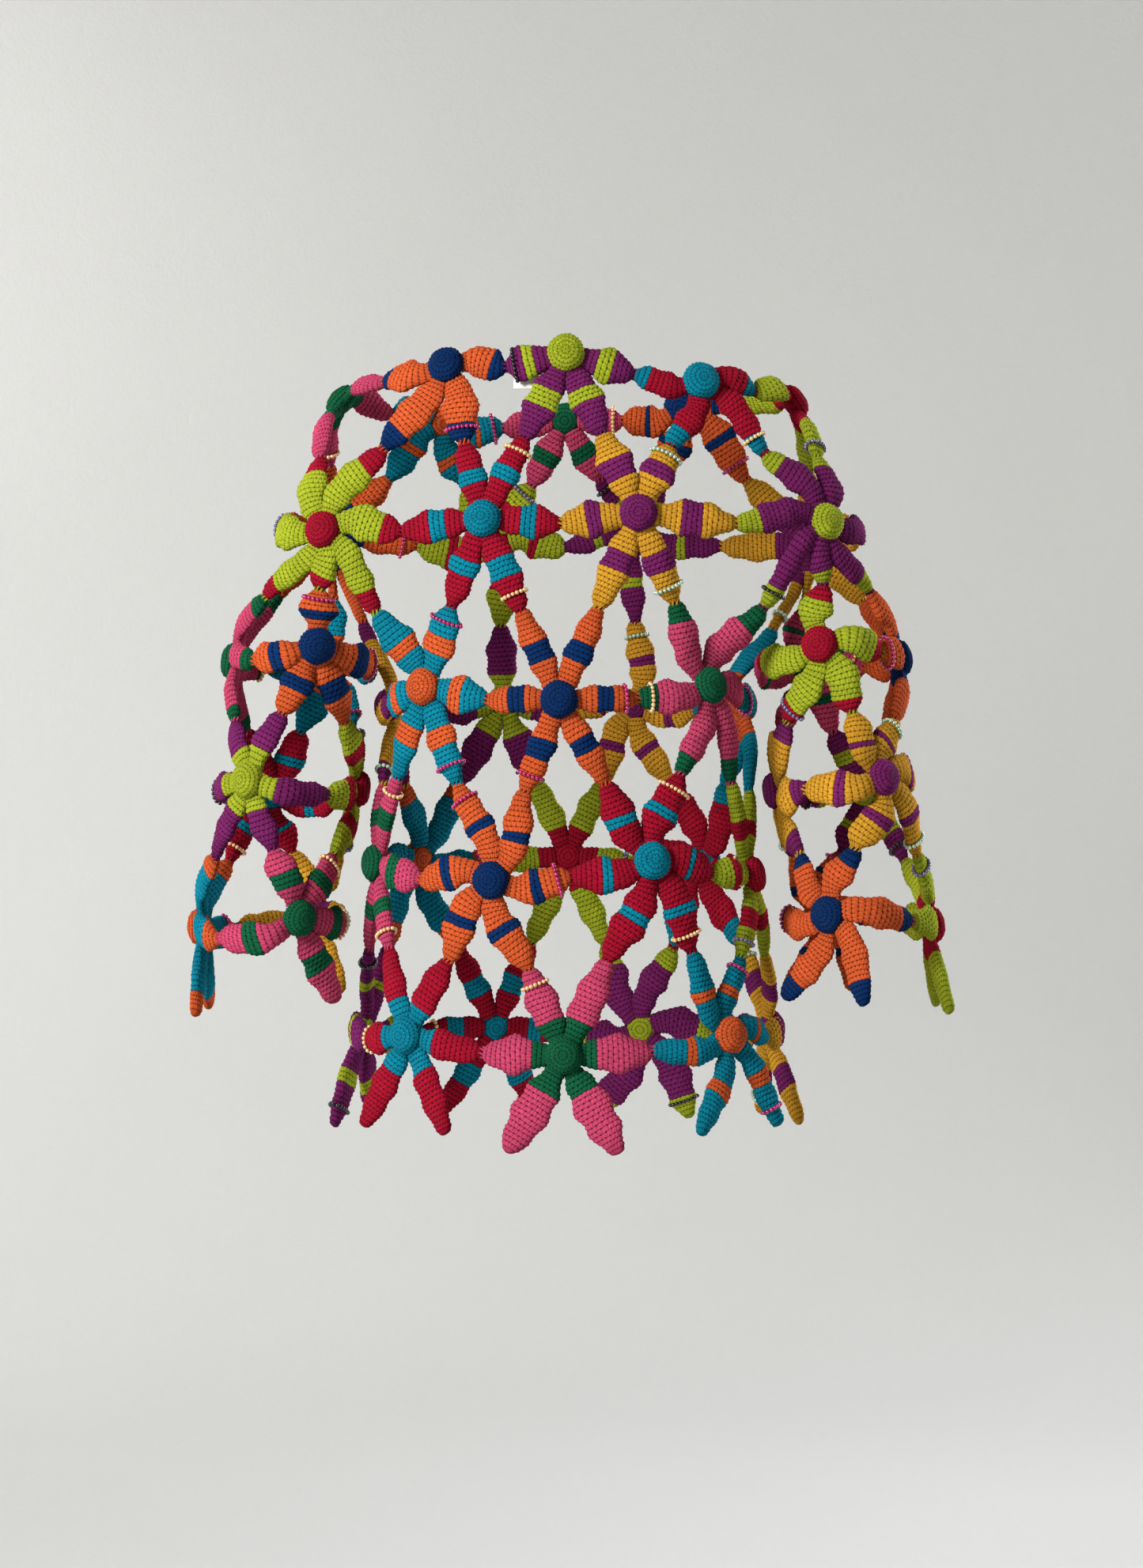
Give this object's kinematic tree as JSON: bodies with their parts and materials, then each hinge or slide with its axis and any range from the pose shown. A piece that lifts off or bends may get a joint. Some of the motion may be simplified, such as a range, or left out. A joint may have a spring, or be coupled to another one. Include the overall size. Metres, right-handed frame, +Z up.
{
  "type": "crochet sweater",
  "caption": "Openwork sweater of stuffed crochet flowers sewn petal to petal, with a wide boat neck, a straight body and bell sleeves, in its worn hollow form.",
  "frame": {"origin": "middle of the neck opening, level with the shoulder points that carry the sweater", "axes": "+Z up; the wearer's back faces -Y and the chest +Y; the wearer's right is +X"},
  "size_m": [0.6652, 0.3062, 0.6873],
  "materials": {
    "label_tape": "matt woven tape",
    "yarn_gold": "matt cotton yarn, single crochet",
    "yarn_lime": "matt cotton yarn, single crochet",
    "yarn_orange": "matt cotton yarn, single crochet",
    "yarn_pink": "matt cotton yarn, single crochet",
    "yarn_purple": "matt cotton yarn, single crochet",
    "yarn_red": "matt cotton yarn, single crochet",
    "yarn_teal": "matt cotton yarn, single crochet",
    "yarn_blue": "matt cotton yarn, single crochet",
    "yarn_green": "matt cotton yarn, single crochet",
    "beads_black": "glossy glass seed beads with a pearl or metal lustre",
    "beads_gold": "glossy glass seed beads with a pearl or metal lustre",
    "beads_green": "glossy glass seed beads with a pearl or metal lustre",
    "beads_magenta": "glossy glass seed beads with a pearl or metal lustre",
    "beads_violet": "glossy glass seed beads with a pearl or metal lustre"
  },
  "bodies": {
    "root": {"back_chest_left_47": "yarn_teal", "back_chest_middle": "yarn_orange", "back_chest_right_47": "yarn_pink", "back_hem_left_47": "yarn_red", "back_hem_middle": "yarn_pink", "back_hem_right_47": "yarn_teal", "back_neck_left_34": "yarn_orange", "back_neck_middle": "yarn_purple", "back_neck_right_34": "yarn_red", "back_waist_left_24": "yarn_orange", "back_waist_left_75": "yarn_pink", "back_waist_right_24": "yarn_red", "back_waist_right_75": "yarn_lime", "back_yoke_left_14": "yarn_red", "back_yoke_left_53": "yarn_lime", "back_yoke_right_14": "yarn_gold", "back_yoke_right_53": "yarn_purple", "front_chest_left_102": "yarn_gold", "front_chest_left_157": "yarn_purple", "front_chest_right_102": "yarn_teal", "front_chest_right_157": "yarn_gold", "front_hem_left_102": "yarn_purple", "front_hem_left_156": "yarn_red", "front_hem_right_102": "yarn_gold", "front_hem_right_156": "yarn_purple", "front_neck_left_146": "yarn_teal", "front_neck_middle": "yarn_pink", "front_neck_right_146": "yarn_orange", "front_waist_left_129": "yarn_teal", "front_waist_middle": "yarn_lime", "front_waist_right_129": "yarn_red", "front_yoke_left_127": "yarn_orange", "front_yoke_left_166": "yarn_lime", "front_yoke_right_127": "yarn_gold", "front_yoke_right_166": "yarn_purple", "neck_label": "label_tape", "shoulder_left": "yarn_pink", "shoulder_right": "yarn_lime", "sleeve_left_cuff_back": "yarn_pink", "sleeve_left_cuff_front": "yarn_gold", "sleeve_left_cuff_outer": "yarn_teal", "sleeve_left_elbow_back": "yarn_purple", "sleeve_left_elbow_front": "yarn_red", "sleeve_left_elbow_inner": "yarn_lime", "sleeve_left_upper_back": "yarn_orange", "sleeve_left_upper_front": "yarn_teal", "sleeve_left_upper_outer": "yarn_pink", "sleeve_right_cuff_back": "yarn_orange", "sleeve_right_cuff_front": "yarn_orange", "sleeve_right_cuff_outer": "yarn_lime", "sleeve_right_elbow_back": "yarn_gold", "sleeve_right_elbow_front": "yarn_purple", "sleeve_right_elbow_inner": "yarn_gold", "sleeve_right_upper_back": "yarn_lime", "sleeve_right_upper_front": "yarn_pink", "sleeve_right_upper_outer": "yarn_orange"}
  },
  "joints": []
}
